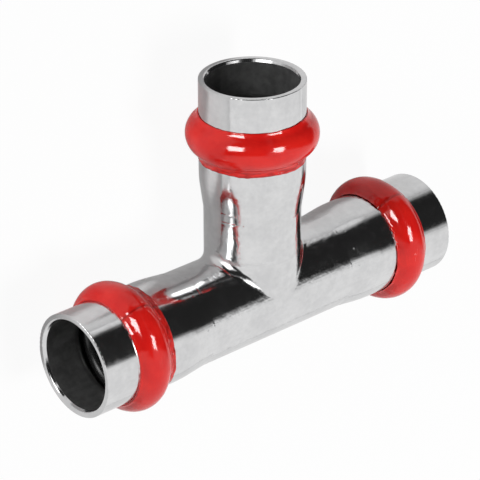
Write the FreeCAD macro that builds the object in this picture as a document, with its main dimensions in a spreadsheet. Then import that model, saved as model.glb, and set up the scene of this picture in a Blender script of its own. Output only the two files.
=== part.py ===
"""Press tee for 15 mm steel pipe, in millimetres.

One cold-formed steel body has three press sockets.  Each socket holds an O-ring in its bead, and a
red film sleeve is shrunk over the outside of each bead.

The body is drawn about the point where the run and branch axes cross, with the run along X and the
branch along +Y.  Seals and sleeves are drawn about their own middles and placed in their sockets.
The Placements lay the tee down on its three beads, with the origin on the floor under its middle.
"""

import FreeCAD, Part
import math
import os

import Sketcher

VEC = FreeCAD.Vector
PLAIN_CURVES = ("Part::GeomCircle", "Part::GeomLine")

# Driving dimensions, each with what it measures
DIMENSIONS = (
    ("pipe_od", 15.0, "outside diameter of the pipe that is pushed in"),
    ("pipe_gap", 0.15, "radial gap between the pipe and the socket"),
    ("wall", 1.2, "thickness of the steel"),
    ("run_reach", 38.5, "tee centre to each run mouth"),
    ("branch_reach", 39.0, "tee centre to the branch mouth"),
    ("socket_depth", 17.6, "mouth to the start of the stop"),
    ("stop_step", 0.6, "how far the wall steps in at the stop"),
    ("stop_run", 5.4, "length of that step along the axis"),
    ("stop_bend", 20.0, "inside radius where the socket turns in at the step"),
    ("stop_crease", 0.5, "outside radius of the crease where the step meets the neck"),
    ("branch_draw", 0.12, "how much smaller the drawn branch neck is than the run neck, on the radius"),
    ("junction_bend", 1.8, "outside radius where the branch leaves the run"),
    ("rim_round", 0.15, "radius on the outer rim of a mouth"),
    ("lead_rise", 0.3, "how far the lead-in widens the bore at the mouth, on the radius"),
    ("lead_run", 0.55, "length of the lead-in along the axis"),
    ("lead_round", 0.35, "radius where the lead-in turns out onto the rim"),
    ("bead_setback", 9.6, "mouth to the middle of the bead"),
    ("bead_width", 5.7, "width of the bead across its feet"),
    ("bead_rise", 2.0, "height of the bead above the wall"),
    ("bead_foot", 0.7, "outside radius at each foot of the bead"),
    ("seal_section", 2.1, "thickness of the O-ring"),
    ("seal_gap", 0.05, "gap between the O-ring and the crown of its bead"),
    ("film_thickness", 0.2, "thickness of the film"),
    ("film_gap", 0.02, "gap between the film and the steel"),
    ("film_lip_side", 3.5, "bead middle to the film's edge on the mouth side"),
    ("film_stop_side", 4.1, "bead middle to the film's edge on the stop side"),
)

# Lengths that follow from the driving ones, each a formula over them and over those above it.
# Those called at_ are distances from a mouth, and those called r_ are radii about a socket's axis.
FORMULAS = (
    ("r_bore", "dims.pipe_od / 2 + dims.pipe_gap"),
    ("r_sleeve", "fits.r_bore + dims.wall"),
    ("r_lead", "fits.r_bore + dims.lead_rise"),
    ("r_run_bore", "fits.r_bore - dims.stop_step"),
    ("r_run_neck", "fits.r_sleeve - dims.stop_step"),
    ("r_branch_bore", "fits.r_run_bore - dims.branch_draw"),
    ("r_branch_neck", "fits.r_run_neck - dims.branch_draw"),
    ("crown", "(dims.bead_width ^ 2 / 4 + dims.bead_rise ^ 2) / (2 * dims.bead_rise)"),
    ("r_crown_centre", "fits.r_sleeve + dims.bead_rise - fits.crown"),
    ("chamber", "fits.crown - dims.wall"),
    ("half_chamber", "sqrt(fits.chamber ^ 2 - (fits.r_bore - fits.r_crown_centre) ^ 2)"),
    ("at_open_air", "-dims.wall"),
    ("at_mouth", "0 * dims.wall"),
    ("at_lead_end", "dims.lead_run"),
    ("at_bead_start", "dims.bead_setback - dims.bead_width / 2"),
    ("at_bead_end", "dims.bead_setback + dims.bead_width / 2"),
    ("at_chamber_start", "dims.bead_setback - fits.half_chamber"),
    ("at_chamber_end", "dims.bead_setback + fits.half_chamber"),
    ("at_stop_start", "dims.socket_depth"),
    ("at_stop_end", "dims.socket_depth + dims.stop_run"),
    ("r_film_inner", "fits.r_sleeve + dims.film_gap"),
    ("r_film_outer", "fits.r_film_inner + dims.film_thickness"),
    ("film_inner_crown", "fits.crown + dims.film_gap"),
    ("film_outer_crown", "fits.film_inner_crown + dims.film_thickness"),
    ("film_inner_half", "sqrt(fits.film_inner_crown ^ 2 - (fits.r_film_inner - fits.r_crown_centre) ^ 2)"),
    ("film_outer_half", "sqrt(fits.film_outer_crown ^ 2 - (fits.r_film_outer - fits.r_crown_centre) ^ 2)"),
    ("r_film_crown", "fits.r_crown_centre + fits.film_outer_crown"),
    ("seal_ring", "fits.r_crown_centre + fits.chamber - dims.seal_gap - dims.seal_section / 2"),
    ("middle", "(dims.branch_reach - fits.r_film_crown) / 2"),
    ("run_bead", "dims.run_reach - dims.bead_setback"),
    ("branch_bead", "dims.branch_reach - dims.bead_setback"),
)

# Each socket's side, the turn about Z that points local +X out of its mouth, and its bead's place
SOCKETS = (
    ("left", 180, "-fits.run_bead", "0 - fits.middle"),
    ("right", 0, "fits.run_bead", "0 - fits.middle"),
    ("branch", 90, "0 * fits.run_bead", "fits.branch_bead - fits.middle"),
)


def make_sheet(doc):
    """Write the driving dimensions into a sheet, one per row, with their meanings beside them."""
    sheet = doc.addObject("Spreadsheet::Sheet", "dims")
    for row, (alias, value, meaning) in enumerate(DIMENSIONS, start=1):
        sheet.set(f"A{row}", meaning)
        sheet.set(f"B{row}", str(value))
        sheet.setAlias(f"B{row}", alias)
    doc.recompute()
    return sheet


def make_fits(doc):
    """Work out the lengths that follow from the sheet, in a set of variables."""
    fits = doc.addObject("App::VarSet", "fits")
    for name, formula in FORMULAS:
        fits.addProperty("App::PropertyFloat", name)
        fits.setExpression(name, formula)
        doc.recompute()
    return fits


def origin_plane(body, role):
    """Return one of a body's own origin planes."""
    return next(item for item in body.Origin.OriginFeatures if item.Role == role)


def draw_profile(body, name, plane, corners, arcs):
    """Draw a closed half section in a sketch and tie its corners to the sheet.

    Each corner is a formula and a rough value along the sketch's X, which is the axis, and the same
    out from it.  An empty formula leaves the corner on the sketch's own axis there.  arcs maps the
    corner where an arc starts to the formula and rough value of its radius.
    """
    sketch = body.newObject("Sketcher::SketchObject", name)
    sketch.AttachmentSupport = [(origin_plane(body, plane), "")]
    sketch.MapMode = "FlatFace"
    spots = [VEC(along[1], out[1], 0) for along, out in corners]
    ends = []
    for index, start in enumerate(spots):
        end = spots[(index + 1) % len(spots)]
        if index not in arcs:
            sketch.addGeometry(Part.LineSegment(start, end), False)
            ends.append((1, 2))
            continue
        radius = abs(arcs[index][1])
        towards_mouth = end.x > start.x
        sag = radius - math.sqrt(radius ** 2 - (start - end).Length ** 2 / 4)
        top = (start + end) / 2 + VEC(0, sag, 0)
        if arcs[index][1] < 0:
            top = (start + end) / 2 + VEC(0, 2 * radius - sag, 0)
        sketch.addGeometry(Part.Arc(start, top, end), False)
        ends.append((2, 1) if towards_mouth else (1, 2))
    for index in range(len(spots)):
        following = (index + 1) % len(spots)
        link = (index, ends[index][1], following, ends[following][0])
        sketch.addConstraint(Sketcher.Constraint("Coincident", *link))
    for index, (along, out) in enumerate(corners):
        point = (index, ends[index][0])
        tie(sketch, point, "DistanceX", f"along_{index}", along, -2)
        tie(sketch, point, "DistanceY", f"out_{index}", out, -1)
    for index, (formula, value) in arcs.items():
        number = sketch.addConstraint(Sketcher.Constraint("Radius", index, abs(value)))
        sketch.renameConstraint(number, f"bend_{index}")
        sketch.setExpression(f"Constraints.bend_{index}", formula)
    return sketch


def tie(sketch, point, kind, label, distance, axis):
    """Hold a point of a sketch at a distance from the origin, or on an axis for an empty formula."""
    formula, value = distance
    if not formula:
        sketch.addConstraint(Sketcher.Constraint("PointOnObject", *point, axis))
        return
    number = sketch.addConstraint(Sketcher.Constraint(kind, -1, 1, *point, value))
    sketch.renameConstraint(number, label)
    sketch.setExpression(f"Constraints.{label}", formula)


def add_turned(body, kind, name, sketch):
    """Revolve a sketch about its own X axis, to add or to cut."""
    feature = body.newObject(kind, name)
    feature.Profile = sketch
    feature.ReferenceAxis = (sketch, ["H_Axis"])
    feature.Angle = 360
    feature.Refine = True
    body.Document.recompute()
    return feature


def add_mirror(body, name, feature):
    """Repeat a feature on the other side of the tee's middle plane."""
    mirror = body.newObject("PartDesign::Mirrored", name)
    mirror.Originals = [feature]
    mirror.MirrorPlane = (origin_plane(body, "YZ_Plane"), [""])
    mirror.Refine = True
    body.Tip = mirror
    body.Document.recompute()
    return mirror


def add_fillet(body, name, edges, formula):
    """Round the named edges of the body's present tip."""
    rounded = body.Tip
    fillet = body.newObject("PartDesign::Fillet", name)
    fillet.Base = (rounded, edges)
    fillet.setExpression("Radius", formula)
    fillet.Refine = True
    body.Tip = fillet
    body.Document.recompute()
    return fillet


def ring_edges(shape, spots):
    """Name the circular edges of a shape whose middle and radius match one of the spots."""
    names = []
    for index, edge in enumerate(shape.Edges, start=1):
        curve = edge.Curve
        if curve.TypeId != "Part::GeomCircle":
            continue
        for centre, radius in spots:
            if (curve.Center - centre).Length < 0.001 and abs(curve.Radius - radius) < 0.001:
                names.append(f"Edge{index}")
    return names


def crossing_edges(shape):
    """Name the edges where the branch meets the run, the only ones that aren't circles or lines."""
    edges = enumerate(shape.Edges, start=1)
    return [f"Edge{index}" for index, edge in edges if edge.Curve.TypeId not in PLAIN_CURVES]


def socket_corners(reach, sizes, fits, stations):
    """Turn (distance from the mouth, radius) names into corners of a profile from centre to mouth."""
    corners = [(("", 0), ("", 0))]
    for station, radius in stations:
        along = ("", 0)
        if station:
            along = (f"dims.{reach} - fits.{station}", sizes[reach] - getattr(fits, station))
        out = ("", 0)
        if radius:
            out = (f"fits.{radius}", getattr(fits, radius))
        corners.append((along, out))
    return corners


def socket_spots(sizes, stations):
    """List the circle middles and radii at (distance from the mouth, run radius, branch radius)."""
    spots = []
    for station, run_radius, branch_radius in stations:
        for side in (-1, 1):
            spots.append((VEC(side * (sizes["run_reach"] - station), 0, 0), run_radius))
        spots.append((VEC(0, sizes["branch_reach"] - station, 0), branch_radius))
    return spots


def outer_half(body, name, plane, reach, neck, sizes, fits):
    """Draw the outside of one socket from the tee's centre to its mouth."""
    stations = (
        ("at_mouth", ""),
        ("at_mouth", "r_sleeve"),
        ("at_bead_start", "r_sleeve"),
        ("at_bead_end", "r_sleeve"),
        ("at_stop_start", "r_sleeve"),
        ("at_stop_end", neck),
        ("", neck),
    )
    corners = socket_corners(reach, sizes, fits, stations)
    return draw_profile(body, name, plane, corners, {3: ("fits.crown", fits.crown)})


def bore_half(body, name, plane, reach, neck, sizes, fits):
    """Draw the inside of one socket from the tee's centre to past its mouth."""
    stations = (
        ("at_open_air", ""),
        ("at_open_air", "r_lead"),
        ("at_mouth", "r_lead"),
        ("at_lead_end", "r_bore"),
        ("at_chamber_start", "r_bore"),
        ("at_chamber_end", "r_bore"),
        ("at_stop_start", "r_bore"),
        ("at_stop_end", neck),
        ("", neck),
    )
    corners = socket_corners(reach, sizes, fits, stations)
    sign = 1 if fits.r_crown_centre <= fits.r_bore else -1
    return draw_profile(body, name, plane, corners, {5: ("fits.chamber", sign * fits.chamber)})


def make_body(doc, sizes, fits):
    """Build the steel body: outside first, then the bores, then the rims."""
    body = doc.addObject("PartDesign::Body", "tee_body")
    body.Label = "tee_body"

    run_outline = outer_half(body, "run_outline", "XY_Plane", "run_reach", "r_run_neck", sizes, fits)
    run_outside = add_turned(body, "PartDesign::Revolution", "run_outside", run_outline)
    add_mirror(body, "run_other_side", run_outside)
    branch_outline = outer_half(
        body, "branch_outline", "YZ_Plane", "branch_reach", "r_branch_neck", sizes, fits)
    add_turned(body, "PartDesign::Revolution", "branch_outside", branch_outline)

    junction = crossing_edges(body.Shape)
    add_fillet(body, "junction_outside", junction, "dims.junction_bend")
    feet = ring_edges(body.Shape, socket_spots(sizes, (
        (fits.at_bead_start, fits.r_sleeve, fits.r_sleeve),
        (fits.at_bead_end, fits.r_sleeve, fits.r_sleeve))))
    add_fillet(body, "bead_feet", feet, "dims.bead_foot")
    shoulders = ring_edges(body.Shape, socket_spots(sizes, (
        (fits.at_stop_start, fits.r_sleeve, fits.r_sleeve),)))
    add_fillet(body, "stop_shoulders", shoulders, "dims.stop_bend + dims.wall")
    necks = ring_edges(body.Shape, socket_spots(sizes, (
        (fits.at_stop_end, fits.r_run_neck, fits.r_branch_neck),)))
    add_fillet(body, "stop_necks", necks, "dims.stop_crease")

    run_hollow = bore_half(body, "run_hollow", "XY_Plane", "run_reach", "r_run_bore", sizes, fits)
    run_bore = add_turned(body, "PartDesign::Groove", "run_bore", run_hollow)
    add_mirror(body, "run_bore_other_side", run_bore)
    branch_hollow = bore_half(
        body, "branch_hollow", "YZ_Plane", "branch_reach", "r_branch_bore", sizes, fits)
    add_turned(body, "PartDesign::Groove", "branch_bore", branch_hollow)

    chambers = ring_edges(body.Shape, socket_spots(sizes, (
        (fits.at_chamber_start, fits.r_bore, fits.r_bore),
        (fits.at_chamber_end, fits.r_bore, fits.r_bore))))
    add_fillet(body, "chamber_feet", chambers, "dims.bead_foot + dims.wall")
    seats = ring_edges(body.Shape, socket_spots(sizes, (
        (fits.at_stop_start, fits.r_bore, fits.r_bore),)))
    add_fillet(body, "stop_seats", seats, "dims.stop_bend")
    throats = ring_edges(body.Shape, socket_spots(sizes, (
        (fits.at_stop_end, fits.r_run_bore, fits.r_branch_bore),)))
    add_fillet(body, "stop_throats", throats, "dims.stop_crease + dims.wall")
    leads = ring_edges(body.Shape, socket_spots(sizes, ((0, fits.r_lead, fits.r_lead),)))
    add_fillet(body, "mouth_leads", leads, "dims.lead_round")
    rims = ring_edges(body.Shape, socket_spots(sizes, ((0, fits.r_sleeve, fits.r_sleeve),)))
    add_fillet(body, "mouth_rims", rims, "dims.rim_round")

    body.setExpression(".Placement.Base.y", "0 - fits.middle")
    body.setExpression(".Placement.Base.z", "fits.r_film_crown")
    return body


def make_seal(doc, side, turn, along_x, along_y):
    """Build one O-ring as a torus that lies in the crown of its bead."""
    seal = doc.addObject("Part::Torus", f"seal_{side}")
    seal.Label = f"seal_{side}"
    seal.setExpression("Radius1", "fits.seal_ring")
    seal.setExpression("Radius2", "dims.seal_section / 2")
    spin = FreeCAD.Rotation(VEC(0, 0, 1), turn) * FreeCAD.Rotation(VEC(0, 1, 0), 90)
    place(seal, spin, along_x, along_y)
    return seal


def make_film(doc, side, turn, along_x, along_y, sizes, fits):
    """Build one film sleeve about its bead's middle, with local +X towards the mouth."""
    film = doc.addObject("PartDesign::Body", f"press_film_{side}")
    film.Label = f"press_film_{side}"
    lip_edge = ("dims.film_lip_side", sizes["film_lip_side"])
    stop_edge = ("0 - dims.film_stop_side", -sizes["film_stop_side"])
    inner = ("fits.r_film_inner", fits.r_film_inner)
    outer = ("fits.r_film_outer", fits.r_film_outer)
    corners = (
        (lip_edge, inner),
        (lip_edge, outer),
        (("fits.film_outer_half", fits.film_outer_half), outer),
        (("0 - fits.film_outer_half", -fits.film_outer_half), outer),
        (stop_edge, outer),
        (stop_edge, inner),
        (("0 - fits.film_inner_half", -fits.film_inner_half), inner),
        (("fits.film_inner_half", fits.film_inner_half), inner),
    )
    arcs = {
        2: ("fits.film_outer_crown", fits.film_outer_crown),
        6: ("fits.film_inner_crown", fits.film_inner_crown),
    }
    section = draw_profile(film, f"film_section_{side}", "XY_Plane", corners, arcs)
    add_turned(film, "PartDesign::Revolution", f"film_ring_{side}", section)
    insides = [(VEC(end * fits.film_inner_half, 0, 0), fits.r_film_inner) for end in (-1, 1)]
    outsides = [(VEC(end * fits.film_outer_half, 0, 0), fits.r_film_outer) for end in (-1, 1)]
    add_fillet(film, f"film_inner_feet_{side}", ring_edges(film.Shape, insides),
               "dims.bead_foot - dims.film_gap")
    add_fillet(film, f"film_outer_feet_{side}", ring_edges(film.Shape, outsides),
               "dims.bead_foot - dims.film_gap - dims.film_thickness")
    place(film, FreeCAD.Rotation(VEC(0, 0, 1), turn), along_x, along_y)
    return film


def place(piece, rotation, along_x, along_y):
    """Put a ring at its bead, at the height that lays the tee on its beads."""
    piece.Placement = FreeCAD.Placement(VEC(0, 0, 0), rotation)
    piece.setExpression(".Placement.Base.x", along_x)
    piece.setExpression(".Placement.Base.y", along_y)
    piece.setExpression(".Placement.Base.z", "fits.r_film_crown")


def check(doc, nodes):
    """Stop if any object of the document failed, or a node has no valid solid."""
    for item in doc.Objects:
        if "Invalid" in item.State or "Error" in item.State:
            raise RuntimeError(f"{item.Name} failed: {item.State}")
    for node in nodes:
        shape = node.Shape
        if shape.isNull() or not shape.isValid() or len(shape.Solids) != 1:
            raise RuntimeError(f"{node.Label} isn't one valid solid")


def main():
    doc = FreeCAD.newDocument("press_tee")
    make_sheet(doc)
    fits = make_fits(doc)
    sizes = {alias: value for alias, value, meaning in DIMENSIONS}
    nodes = [make_body(doc, sizes, fits)]
    for side, turn, along_x, along_y in SOCKETS:
        nodes.append(make_seal(doc, side, turn, along_x, along_y))
        nodes.append(make_film(doc, side, turn, along_x, along_y, sizes, fits))
    doc.recompute()
    check(doc, nodes)
    os.makedirs("parts", exist_ok=True)
    for node in nodes:
        node.Shape.exportStep(f"parts/{node.Label}.step")


main()
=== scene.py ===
"""Looks of a press tee: a plated steel body, rubber seals and a red film sleeve over each bead."""

import math

import bmesh
import bpy
from mathutils import Matrix, Vector, noise


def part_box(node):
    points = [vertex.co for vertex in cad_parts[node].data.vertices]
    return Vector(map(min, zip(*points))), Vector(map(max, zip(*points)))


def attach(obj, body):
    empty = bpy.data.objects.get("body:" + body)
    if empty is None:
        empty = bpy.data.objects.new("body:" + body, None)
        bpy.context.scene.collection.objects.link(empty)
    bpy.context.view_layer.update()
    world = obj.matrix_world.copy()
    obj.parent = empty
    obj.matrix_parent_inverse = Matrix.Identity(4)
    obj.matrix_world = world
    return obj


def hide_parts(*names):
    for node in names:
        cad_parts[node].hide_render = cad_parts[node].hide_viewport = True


MM = 0.001
FULL_TURN = 2 * math.pi

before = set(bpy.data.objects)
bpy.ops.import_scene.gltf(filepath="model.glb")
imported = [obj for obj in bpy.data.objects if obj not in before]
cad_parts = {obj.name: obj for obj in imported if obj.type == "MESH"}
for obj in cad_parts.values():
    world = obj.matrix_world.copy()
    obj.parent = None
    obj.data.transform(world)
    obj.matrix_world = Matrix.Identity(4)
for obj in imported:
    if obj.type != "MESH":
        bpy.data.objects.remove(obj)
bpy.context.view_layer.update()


# ---------------------------------------------------------------- places, in millimetres

def middle(node):
    """The middle of a node."""
    low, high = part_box(node)
    return (low + high) / (2 * MM)


def far_corner(node):
    """The highest X, Y and Z of a node."""
    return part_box(node)[1] / MM


# where the axes of run and branch cross, then distances from there
CROSSING = Vector((0, middle("seal_right").y, middle("seal_right").z))
RUN_BEAD = middle("seal_right").x
BRANCH_BEAD = middle("seal_branch").y - CROSSING.y
RUN_REACH = far_corner("tee_body").x
BRANCH_REACH = far_corner("tee_body").y - CROSSING.y
FILM_CROWN = far_corner("press_film_right").z - CROSSING.z

SLEEVE_RADIUS = 8.85
WALL = 1.2
BEAD_CENTRE = 7.82  # radius at which the arc of a bead has its centre
BEAD_CURVE = 3.03
STOP_DEPTH = 17.6  # from a mouth to the step that stops the pipe
STOP_RUN = 5.4  # length of the slope from the stop to the neck
NECK_STEP = 0.6
RIM_DEPTH = 0.5  # how far the plating reaches into a mouth
RIM_FADE = 0.4
FILM_FOOT = 3.0  # from the middle of a bead to where the film meets the sleeve
BRANCH_START = 8.4  # from the crossing to where the branch's patterns begin
BRANCH_BLEND = 1.0
BRANCH_HALF = 12.0  # how far those reach to each side of the branch's axis


# ---------------------------------------------------------------- a short way to write nodes

class Value:
    """An output of a node. Arithmetic on it adds Math nodes."""

    def __init__(self, finish, socket):
        self.finish = finish
        self.socket = socket

    def math(self, operation, first, second=0.0):
        return self.finish.node("ShaderNodeMath", {"operation": operation}, {0: first, 1: second})

    def __add__(self, other):
        return self.math("ADD", self, other)

    def __sub__(self, other):
        return self.math("SUBTRACT", self, other)

    def __rsub__(self, other):
        return self.math("SUBTRACT", other, self)

    def __mul__(self, other):
        return self.math("MULTIPLY", self, other)

    def __truediv__(self, other):
        return self.math("DIVIDE", self, other)

    def __pow__(self, other):
        return self.math("POWER", self, other)

    def __abs__(self):
        return self.math("ABSOLUTE", self)

    def __lt__(self, other):
        return self.math("LESS_THAN", self, other)

    def __gt__(self, other):
        return self.math("GREATER_THAN", self, other)

    def most(self, other):
        """The greater of two values."""
        return self.math("MAXIMUM", self, other)

    __radd__ = __add__
    __rmul__ = __mul__


class Finish:
    """The nodes of one material, or of the world."""

    def __init__(self, owner):
        owner.use_nodes = True
        self.tree = owner.node_tree
        self.tree.nodes.clear()

    def node(self, kind, settings=None, sockets=None, output=0):
        """Add a node with its settings and the values or links of its sockets."""
        made = self.tree.nodes.new(kind)
        for name, value in (settings or {}).items():
            setattr(made, name, value)
        for name, value in (sockets or {}).items():
            if isinstance(value, Value):
                self.tree.links.new(value.socket, made.inputs[name])
            else:
                made.inputs[name].default_value = value
        return Value(self, made.outputs[output]) if made.outputs else None

    def place(self):
        """The place on the object, as a vector in metres."""
        return self.node("ShaderNodeTexCoord", output="Object")

    def millimetres(self):
        """The place on the object, as a vector in millimetres."""
        sockets = {0: self.place(), "Scale": 1 / MM}
        return self.node("ShaderNodeVectorMath", {"operation": "SCALE"}, sockets)

    def parts(self, vector):
        """The X, Y and Z of a vector."""
        node = self.node("ShaderNodeSeparateXYZ", sockets={0: vector}).socket.node
        return [Value(self, output) for output in node.outputs]

    def vector(self, x, y, z):
        """A vector from its X, Y and Z."""
        return self.node("ShaderNodeCombineXYZ", sockets={0: x, 1: y, 2: z})

    def marked(self, mark):
        """The number that each vertex of the mesh carries under a mark."""
        return self.node("ShaderNodeAttribute", {"attribute_name": mark}, output="Fac")

    def grain(self, place, scale, detail=2.0, roughness=0.5):
        """Noise about 0.5, with its scale in waves per millimetre."""
        sockets = {"Vector": place, "Scale": scale, "Detail": detail, "Roughness": roughness}
        return self.node("ShaderNodeTexNoise", sockets=sockets)

    def rise(self, value, low, high):
        """0 below low, 1 above high and a smooth slope between them."""
        settings = {"interpolation_type": "SMOOTHSTEP"}
        return self.node("ShaderNodeMapRange", settings, {0: value, 1: low, 2: high})

    def pulse(self, value, centre, width):
        """1 at the centre, falling to 0 at that width on both sides."""
        return self.rise(value, centre - width, centre) - self.rise(value, centre, centre + width)

    def colours(self, factor, first, second):
        """A mix of two colours."""
        sockets = {0: factor, 6: first, 7: second}
        return self.node("ShaderNodeMix", {"data_type": "RGBA"}, sockets, output=2)

    def bump(self, height):
        """A normal from a height in millimetres."""
        return self.node("ShaderNodeBump", sockets={"Distance": MM, "Height": height})

    def glow(self, strength):
        """White light from the surface itself."""
        return self.node("ShaderNodeEmission", sockets={"Color": grey(1.0), "Strength": strength})

    def mixed(self, factor, first, second):
        """A mix of two shaders."""
        return self.node("ShaderNodeMixShader", sockets={0: factor, 1: first, 2: second})

    def end(self, shader):
        """End the material with a shader."""
        self.node("ShaderNodeOutputMaterial", sockets={"Surface": shader})

    def surface(self, sockets):
        """End the material with a Principled surface."""
        self.end(self.node("ShaderNodeBsdfPrincipled", sockets=sockets))


def new_material(name):
    """A new material and its nodes."""
    made = bpy.data.materials.new(name)
    return made, Finish(made)


def grey(shade):
    return (shade, shade, shade, 1)


# ---------------------------------------------------------------- finishes

def tube_skin(steel, along, around, reach, bead):
    """1 on the inner skin of one arm of the tee, from the place along it and the radius.

    A skin is inner below the middle of the wall, except at the mouth, whose rim is plated.
    """
    stop = reach - STOP_DEPTH
    half_way = SLEEVE_RADIUS - WALL / 2 - NECK_STEP
    half_way = half_way + NECK_STEP * steel.rise(along, stop - STOP_RUN, stop)
    rim = reach - RIM_DEPTH
    half_way = half_way - WALL / 2 * steel.rise(along, rim - RIM_FADE, rim)
    chamber = ((along - bead) ** 2 + (around - BEAD_CENTRE) ** 2) ** 0.5
    return (around < half_way).most(chamber < BEAD_CURVE - WALL / 2)


class ArmPlace:
    """A place on the tee, told as a distance along its arm and a direction about that arm."""

    def __init__(self, finish):
        self.finish = finish
        self.place = finish.millimetres()
        self.x, y, z = finish.parts(self.place)
        self.up_branch = y - CROSSING.y
        self.height = z - CROSSING.z
        self.from_run = (self.up_branch ** 2 + self.height ** 2) ** 0.5
        self.from_branch = (self.x ** 2 + self.height ** 2) ** 0.5
        past_start = finish.rise(self.up_branch, BRANCH_START, BRANCH_START + BRANCH_BLEND)
        self.on_branch = past_start * (abs(self.x) < BRANCH_HALF)
        self.along = self.pick(abs(self.x), self.up_branch)
        around = self.pick(self.from_run, self.from_branch)
        self.side = self.pick(self.up_branch, self.x) / around
        self.top = self.height / around

    def pick(self, on_run, on_branch):
        """One value on the run and another on the branch."""
        return on_run + (on_branch - on_run) * self.on_branch

    def lines(self, lengthwise, around, detail=3.0):
        """Noise drawn out along the arm or about it, in waves per millimetre and per radius."""
        place = self.finish.vector(self.along * lengthwise, self.side * around, self.top * around)
        return self.finish.grain(place, 1.0, detail)


def plated_steel():
    """Zinc plating with a soft mirror finish, wavy from forming, over a dark bare inside."""
    made, steel = new_material("zinc_plated_steel")
    arm = ArmPlace(steel)
    run_skin = tube_skin(steel, abs(arm.x), arm.from_run, RUN_REACH, RUN_BEAD)
    branch_skin = tube_skin(steel, arm.up_branch, arm.from_branch, BRANCH_REACH, BRANCH_BEAD)
    inside = run_skin.most(branch_skin * (arm.up_branch > 0.0))

    mottle = steel.grain(arm.place, 0.9, 4.0, 0.6)
    blotch = steel.grain(arm.place, 0.16, 2.0)
    drawn = arm.lines(0.03, 4.0)
    tone = steel.rise(mottle * 0.35 + blotch * 0.4 + drawn * 0.25, 0.35, 0.65)
    outside_colour = steel.colours(tone, (0.59, 0.59, 0.595, 1), (0.69, 0.69, 0.692, 1))
    inside_colour = steel.colours(tone, grey(0.20), grey(0.36))
    haze = steel.rise(steel.grain(arm.place, 0.7, 4.0, 0.65), 0.5, 0.75)

    # marks of the forming tools, on the slope behind the stop
    reach = RUN_REACH + (BRANCH_REACH - RUN_REACH) * arm.on_branch
    from_stop = reach - STOP_DEPTH - arm.along
    slope_start = steel.rise(from_stop, -0.4, 0.2)
    slope_end = steel.rise(from_stop, STOP_RUN - 0.2, STOP_RUN + 0.3)
    rings = arm.lines(2.6, 1.6, 4.0) * (slope_start - slope_end)
    broken = steel.rise(arm.lines(0.3, 2.9), 0.44, 0.52)
    end_crease = steel.pulse(from_stop, STOP_RUN, 0.3)
    slope_crease = steel.pulse(from_stop, STOP_RUN - 1.6, 0.3)

    # relief in millimetres: waves and pits all over, and dents where the branch was drawn out
    forming = steel.grain(arm.place, 0.33, 1.0)
    ripple = steel.grain(arm.place, 1.1, 2.0)
    pits = steel.grain(arm.place, 3.5, 3.0)
    streaks = arm.lines(0.06, 9.0)
    dents = steel.grain(arm.place, 0.6, 2.0)
    drawn_out = 1.0 - steel.rise(arm.along, 13.0, 18.0)
    relief = forming * 0.008 + ripple * 0.006 + pits * 0.0012 + drawn * 0.03
    relief = relief + rings * 0.008 + (end_crease + slope_crease * 0.6) * broken * 0.035
    relief = relief + drawn_out * (dents * 0.06 + streaks * 0.02)
    steel.surface({
        "Base Color": steel.colours(inside, outside_colour, inside_colour),
        "Metallic": 1.0 - 0.2 * inside,
        "Roughness": 0.12 + 0.10 * haze + 0.17 * inside,
        "Normal": steel.bump(relief),
    })
    return made


def seal_rubber():
    """Black rubber, lightly greased."""
    made, rubber = new_material("black_seal_rubber")
    speckle = rubber.grain(rubber.millimetres(), 3.0, 3.0)
    rubber.surface({
        "Base Color": rubber.colours(speckle, grey(0.008), grey(0.02)),
        "Roughness": 0.16 + 0.16 * speckle,
        "Normal": rubber.bump(speckle * 0.004),
    })
    return made


# marks the weld line: a groove in the film, along which the film's colour paints a dark shadow line
WELD_MARK = "weld"


def red_film():
    """Thin glossy red plastic film, shrunk on and creased at its loose hem, where painted shade
    darkens the red along the creases.
    """
    made, film = new_material("red_press_film")
    arm = ArmPlace(film)
    cloud = film.grain(arm.place, 0.3, 3.0)
    fine = film.grain(arm.place, 2.2, 3.0)
    swell = film.grain(arm.place, 0.5, 1.0)
    creases = arm.lines(2.2, 5.0, 4.0)
    bead = RUN_BEAD + (BRANCH_BEAD - RUN_BEAD) * arm.on_branch
    hem = film.rise(bead - arm.along, FILM_FOOT - 0.1, FILM_FOOT + 0.5)

    tone = film.rise(cloud, 0.35, 0.65)
    taut_colour = film.colours(tone, (0.68, 0.011, 0.009, 1), (0.76, 0.017, 0.012, 1))
    # painted shade: the hem's red darkens along the crease pattern, standing in for shade in its
    # folds
    crease_shade_tone = film.rise(creases, 0.4, 0.6)
    crease_shaded_hem_colour = film.colours(crease_shade_tone, (0.42, 0.010, 0.008, 1), (0.72, 0.020, 0.016, 1))
    shrunk_colour = film.colours(hem, taut_colour, crease_shaded_hem_colour)
    # painted shadow: a dark red line along the weld groove
    weld_painted_shadow = film.marked(WELD_MARK) * 0.6
    film.surface({
        "Base Color": film.colours(weld_painted_shadow, shrunk_colour, (0.16, 0.003, 0.003, 1)),
        "Roughness": 0.07 + 0.06 * fine + 0.08 * hem,
        "IOR": 1.43,
        "Normal": film.bump(swell * 0.05 + fine * 0.004 + creases * hem * 0.08),
    })
    return made


# ---------------------------------------------------------------- film sleeves

def scene_object(name, mesh, finish):
    """An object in the scene from a mesh in metres."""
    data = bpy.data.meshes.new(name)
    mesh.to_mesh(data)
    mesh.free()
    data.materials.append(finish)
    made = bpy.data.objects.new(name, data)
    bpy.context.scene.collection.objects.link(made)
    return made


FILM_THICKNESS = 0.10
FILM_REST = SLEEVE_RADIUS + 0.12  # radius at which the film's outside lies on the steel
FOOT_BEND = 2.4  # from the middle of a bead to where the film starts to bend into its foot
FILM_RIM = 0.12  # curve of the flare's rolled edge
RIM_GAP = 0.03
EDGE_MARGIN = 0.01
WELD_WIDTH = 0.2
WELD_DEPTH = 0.06

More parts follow.
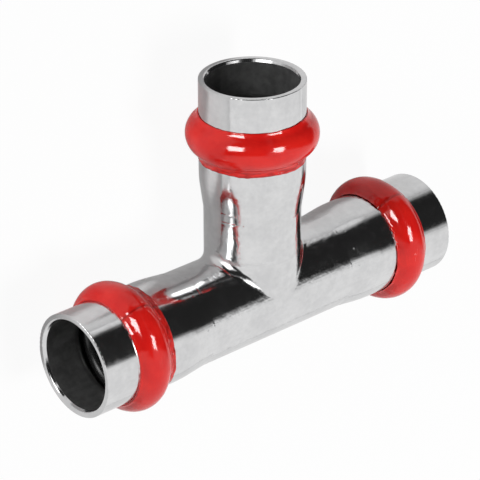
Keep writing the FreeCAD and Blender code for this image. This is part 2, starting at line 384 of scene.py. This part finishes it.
FLARE_STEPS = 8
RIM_STEPS = 4
CROWN_STEPS = 26
FOOT_STEPS = 6
FOOT_SMOOTHING = 8
STEPS_AROUND = 240


def ridge(distance, width):
    """1 at no distance, and nearly 0 past twice the width."""
    return math.exp(-((distance / width) ** 2))


def pucker(mesh, seed, lip, stop, weld, crinkle):
    """Set the film as a shrunk sleeve sits: uneven edges, a loose hem, puckers and a weld line."""
    mark = mesh.verts.layers.float.new(WELD_MARK)
    for vertex in mesh.verts:
        along, angle = vertex.co.x, math.atan2(vertex.co.z, vertex.co.y)
        radius = math.hypot(vertex.co.y, vertex.co.z)
        turn = Vector((math.cos(angle), math.sin(angle), seed))
        slow = noise.noise(turn * 2.3)
        quick = noise.noise(turn * 9.0 + Vector((0, 0, along * 0.9)))
        fold = noise.noise(turn * 5.0 + Vector((0, 0, along * 2.4)))
        # a welt at the foot, folds in the hem behind it and puckers away from the crown
        welt = 0.07 * ridge(along + FILM_FOOT + 0.15, 0.16) * (0.7 + 0.6 * slow)
        hem = min(1, max(0, (-along - FILM_FOOT + 0.5) / 0.5))
        off_crown = min(1, abs(along) / 2.2) ** 2
        folds = 0.12 * hem * max(0, fold)
        puckers = 0.10 * off_crown * max(0, quick) * (1 if along < 0 else 0.4)
        radius += welt + crinkle * (folds + puckers)
        # the weld line is a groove, but never dips into the steel
        off_weld = (angle - weld + math.pi) % FULL_TURN - math.pi
        vertex[mark] = ridge(off_weld * radius, WELD_WIDTH)
        radius -= min(WELD_DEPTH, max(0, radius - FILM_REST)) * vertex[mark]
        # uneven edges
        to_lip = max(0, along - lip + 0.5) / 0.5
        to_stop = max(0, -along - stop + 0.7) / 0.7
        along += to_lip * (0.08 * slow + 0.05 * quick)
        along -= to_stop * (0.20 * slow + 0.12 * quick)
        vertex.co = (along, radius * math.cos(angle), radius * math.sin(angle))


def spun_on(mesh, vertex, centre, axis_y, angle, steps):
    """Spin a vertex about an axis along Y through a centre, and return the last vertex."""
    spun = bmesh.ops.spin(mesh, geom=[vertex], cent=centre, axis=(0, axis_y, 0), angle=angle,
                          steps=steps)
    return next(v for v in spun["geom_last"] if isinstance(v, bmesh.types.BMVert))


def drawn_on(mesh, vertex):
    """Extrude a vertex and return the new one, which still lies on it."""
    return bmesh.ops.extrude_vert_indiv(mesh, verts=[vertex])["verts"][0]


def film_section(mesh, lip, stop, flare):
    """The film's section over one bead: a rim and a hollow flare, an arc, then a foot."""
    # the arc over the crown and the hollow arc of the flare touch at the angle join
    curve = FILM_CROWN - BEAD_CENTRE
    flare_height = FILM_REST + flare - BEAD_CENTRE
    flare_along = math.sqrt((curve + flare) ** 2 - flare_height ** 2)
    join = math.atan2(flare_height, flare_along)
    # the flare ends at the lip, this angle short of lying along the steel
    short = math.asin((flare_along - lip) / flare)
    # the arc over the crown ends where it comes down to the steel
    lift = math.asin((FILM_REST - BEAD_CENTRE) / curve)
    start = mesh.verts.new((curve * math.cos(join), 0, BEAD_CENTRE + curve * math.sin(join)))

    edge = spun_on(mesh, start, (flare_along, 0, FILM_REST + flare), -1,
                   math.pi / 2 - join - short, FLARE_STEPS)
    rim_centre = edge.co - Vector((math.sin(short), 0, math.cos(short))) * FILM_RIM
    rim = spun_on(mesh, edge, rim_centre, 1, math.pi / 2 - short, RIM_STEPS)
    drawn_on(mesh, rim).co.z = SLEEVE_RADIUS + RIM_GAP

    end = spun_on(mesh, start, (0, 0, BEAD_CENTRE), -1, math.pi - join - lift, CROWN_STEPS)
    reach = stop - curve * math.cos(lift)
    for _ in range(FOOT_STEPS):
        end = drawn_on(mesh, end)
        end.co.x -= reach / FOOT_STEPS
    # smooth the bend into the foot, all but the film's own edge
    stop_foot = [v for v in mesh.verts if EDGE_MARGIN - stop < v.co.x < -FOOT_BEND]
    for _ in range(FOOT_SMOOTHING):
        bmesh.ops.smooth_vert(mesh, verts=stop_foot, factor=0.5,
                              use_axis_x=True, use_axis_y=True, use_axis_z=True)


def film_sleeve(side, finish, bead, turn, lip, stop, flare, seed, weld, crinkle):
    """One film sleeve, spun about its bead with its mouth side at +X, then turned into place."""
    mesh = bmesh.new()
    film_section(mesh, lip, stop, flare)
    bmesh.ops.spin(mesh, geom=mesh.verts[:] + mesh.edges[:], cent=(0, 0, 0), axis=(1, 0, 0),
                   angle=FULL_TURN, steps=STEPS_AROUND, use_merge=True)
    bmesh.ops.remove_doubles(mesh, verts=mesh.verts, dist=1e-4)
    bmesh.ops.recalc_face_normals(mesh, faces=mesh.faces)
    pucker(mesh, seed, lip, stop, math.radians(weld), crinkle)
    turned = Matrix.Rotation(math.radians(turn), 4, "Z")
    place = Matrix.Translation((CROSSING + bead) * MM) @ turned @ Matrix.Scale(MM, 4)
    bmesh.ops.transform(mesh, matrix=place, verts=mesh.verts)
    for face in mesh.faces:
        face.smooth = True
    piece = scene_object("film_" + side, mesh, finish)
    wall = piece.modifiers.new("film_thickness", "SOLIDIFY")
    wall.thickness = FILM_THICKNESS * MM
    wall.offset = -1
    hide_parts("press_film_" + side)
    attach(piece, "root")
    return piece


# ---------------------------------------------------------------- stage

YAW = math.radians(41.8137)
PITCH = math.radians(27.1713)
ROLL = math.radians(-0.0913)
BACK = Vector((-math.sin(YAW) * math.cos(PITCH), math.sin(PITCH), math.cos(YAW) * math.cos(PITCH)))
LEVEL = Vector((math.cos(YAW), 0, math.sin(YAW)))
RIGHT = LEVEL * math.cos(ROLL) + BACK.cross(LEVEL) * math.sin(ROLL)
UP = BACK.cross(RIGHT)
CAMERA_AXES = Matrix((RIGHT, UP, BACK)).transposed().to_4x4()
CAMERA_FROM_CROSSING = Vector((-256.68, 205.90, 283.87))
# cards stand round the crossing, with the camera's right, up and back as their X, Y and Z
CARD_AXES = Matrix.Translation(CROSSING * MM) @ CAMERA_AXES


def camera():
    """The camera, at the photograph's angle and distance."""
    data = bpy.data.cameras.new("camera")
    data.sensor_width = 36
    data.lens = 193.245
    data.clip_start = 0.01
    made = bpy.data.objects.new("camera", data)
    made.matrix_world = Matrix.Translation((CROSSING + CAMERA_FROM_CROSSING) * MM) @ CAMERA_AXES
    bpy.context.scene.collection.objects.link(made)
    bpy.context.scene.camera = made


def ray_kinds(nodes):
    """1 for camera rays, and 1 for reflected and refracted rays."""
    paths = nodes.node("ShaderNodeLightPath").socket.node.outputs
    camera_rays, glossy, refracted = (
        Value(nodes, paths["Is " + kind + " Ray"]) for kind in ("Camera", "Glossy", "Transmission"))
    return camera_rays, glossy + refracted


FLOOR_HALF = 3.0  # in metres, as the next two are
SWEEP_START = 0.3
SWEEP_END = 2.8
FLOOR_WHITENESS = 0.94
NEAR_SHINE = 0.25


def pale_floor():
    """A white floor with a faint shadow. Reflections show it blending into the backdrop far off."""
    made, floor = new_material("pale_floor")
    matt = floor.node("ShaderNodeBsdfDiffuse", sockets={"Color": grey(0.8)})
    far = floor.node("ShaderNodeVectorMath", {"operation": "LENGTH"}, {0: floor.place()},
                     output="Value")
    shine = NEAR_SHINE + (1 - NEAR_SHINE) * floor.rise(far, SWEEP_START, SWEEP_END)
    camera_rays, reflected = ray_kinds(floor)
    white = FLOOR_WHITENESS * camera_rays + shine * reflected
    floor.end(floor.mixed(white, matt, floor.glow(1.0)))
    mesh = bmesh.new()
    bmesh.ops.create_grid(mesh, x_segments=1, y_segments=1, size=FLOOR_HALF)
    scene_object("floor", mesh, made)


AMBIENT = 0.15


def white_world():
    """White surroundings, dimmer as light than as background."""
    world = bpy.data.worlds.new("white_studio")
    bpy.context.scene.world = world
    nodes = Finish(world)
    camera_rays, reflected = ray_kinds(nodes)
    strength = AMBIENT + (1 - AMBIENT) * (camera_rays + reflected)
    sockets = {"Color": grey(1.0), "Strength": strength}
    shine = nodes.node("ShaderNodeBackground", sockets=sockets)
    nodes.node("ShaderNodeOutputWorld", sockets={"Surface": shine})


INWARD_MARK = "inward"


def soft_edge(share):
    """0 at the edge of a card and 1 from the inner side of its border on."""
    share = max(0, min(1, share))
    return share * share * (3 - 2 * share)


def reflected_card(name, mesh, finish):
    """A card of the stage, hidden from all but reflections."""
    bmesh.ops.transform(mesh, matrix=CARD_AXES, verts=mesh.verts)
    card = scene_object(name, mesh, finish)
    card.visible_camera = False
    card.visible_diffuse = False
    card.visible_transmission = False
    card.visible_shadow = False
    return card


SOFTBOX_DISTANCE = 0.8  # in metres
SOFTBOX_STEPS = 40


def softbox(name, pieces, side, lift, width, height, strength, border):
    """A bright card in the reflections of some pieces, soft over a share of its size.

    Side and lift are degrees from the camera's own direction.
    """
    made, nodes = new_material(name)
    clear = nodes.node("ShaderNodeBsdfTransparent")
    lit = nodes.node("ShaderNodeAddShader", sockets={0: clear, 1: nodes.glow(strength)})
    nodes.end(nodes.mixed(nodes.marked(INWARD_MARK), clear, lit))
    mesh = bmesh.new()
    bmesh.ops.create_grid(mesh, x_segments=SOFTBOX_STEPS, y_segments=SOFTBOX_STEPS, size=0.5)
    mark = mesh.verts.layers.float.new(INWARD_MARK)
    for vertex in mesh.verts:
        vertex[mark] = soft_edge((0.5 - max(abs(vertex.co.x), abs(vertex.co.y))) / border)
    bmesh.ops.scale(mesh, vec=(width, height, 1), verts=mesh.verts)
    bmesh.ops.translate(mesh, vec=(0, 0, SOFTBOX_DISTANCE), verts=mesh.verts)
    turned = (Matrix.Rotation(math.radians(side), 4, "Y")
              @ Matrix.Rotation(math.radians(-lift), 4, "X"))
    bmesh.ops.transform(mesh, matrix=turned, verts=mesh.verts)
    card = reflected_card(name, mesh, made)
    lit_pieces = bpy.data.collections.new(name + "_pieces")
    for piece in pieces:
        lit_pieces.objects.link(piece)
    card.light_linking.receiver_collection = lit_pieces


PANEL_GLOW = 0.02
PANEL_BORDER = math.radians(12)
PANEL_STEPS_UP = 36
PANEL_STEPS_AROUND = 60


def dark_panel(name, distance, left, right, low, high):
    """A dark curved panel with soft edges, for the dark bands in the steel.

    Its distance is in metres, and its four sides are degrees from the camera's own direction.
    """
    made, nodes = new_material(name)
    clear = nodes.node("ShaderNodeBsdfTransparent")
    nodes.end(nodes.mixed(nodes.marked(INWARD_MARK), clear, nodes.glow(PANEL_GLOW)))
    left, right, low, high = (math.radians(angle) for angle in (left, right, low, high))
    mesh = bmesh.new()
    corner = mesh.verts.new((0, math.sin(low) * distance, math.cos(low) * distance))
    bmesh.ops.spin(mesh, geom=[corner], cent=(0, 0, 0), axis=(-1, 0, 0), angle=high - low,
                   steps=PANEL_STEPS_UP)
    bmesh.ops.rotate(mesh, verts=mesh.verts, cent=(0, 0, 0), matrix=Matrix.Rotation(left, 3, "Y"))
    bmesh.ops.spin(mesh, geom=mesh.verts[:] + mesh.edges[:], cent=(0, 0, 0), axis=(0, 1, 0),
                   angle=right - left, steps=PANEL_STEPS_AROUND)
    mark = mesh.verts.layers.float.new(INWARD_MARK)
    for vertex in mesh.verts:
        side, lift = math.atan2(vertex.co.x, vertex.co.z), math.asin(vertex.co.y / distance)
        inward = min(side - left, right - side, lift - low, high - lift)
        vertex[mark] = soft_edge(inward / PANEL_BORDER)
    reflected_card(name, mesh, made)


def soft_lamp(name, place, size, power):
    """A wide lamp for gentle shade, kept out of reflections."""
    data = bpy.data.lights.new(name, "AREA")
    data.shape = "DISK"
    data.size = size
    data.energy = power
    made = bpy.data.objects.new(name, data)
    made.location = place
    made.rotation_euler = Vector(place).to_track_quat("Z", "Y").to_euler()
    made.visible_glossy = False
    bpy.context.scene.collection.objects.link(made)


# ---------------------------------------------------------------- the tee

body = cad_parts["tee_body"]
body.data.materials[0] = plated_steel()

rubber = seal_rubber()
seals = [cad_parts["seal_" + side] for side in ("left", "right", "branch")]
for seal in seals:
    seal.data.materials[0] = rubber

film = red_film()
SLEEVES = (
    # bead from the crossing, turn about Z, lip side, stop side, flare, seed, weld angle, crinkle
    ("left", Vector((-RUN_BEAD, 0, 0)), 180, 3.10, 4.35, 1.3, 1.0, 150, 1.8),
    ("right", Vector((RUN_BEAD, 0, 0)), 0, 3.40, 3.25, 2.0, 5.0, 25, 1.3),
    ("branch", Vector((0, BRANCH_BEAD, 0)), 90, 3.58, 4.2, 2.0, 9.0, 215, 1.0),
)
sleeves = [film_sleeve(side, film, *sizes) for side, *sizes in SLEEVES]

camera()
white_world()
pale_floor()

# name, distance, then the sides: left, right, low and high
dark_panel("dark_panel_right", 1.2, 21, 128, -10, 65)
dark_panel("dark_panel_front", 1.3, -76, 33, -34, 65)

# name, pieces, side, lift, width, height, strength, border
softbox("softbox_left", sleeves, -25, 11, 0.36, 0.34, 26, 0.05)
softbox("softbox_right", sleeves, 42, 1, 0.26, 0.34, 26, 0.05)
softbox("soft_sheen_left", [body] + seals, -27, 12, 0.80, 0.62, 6.0, 0.5)
softbox("soft_sheen_right", [body] + seals, 42, 1, 0.44, 0.48, 6.5, 0.5)

# name, place and size in metres, power in watts
soft_lamp("lamp_left", (-0.70, 0.40, 0.13), 0.26, 3.4)
soft_lamp("lamp_above", (0.24, -0.24, 0.70), 0.30, 5.0)

bpy.context.scene.view_settings.view_transform = "Standard"
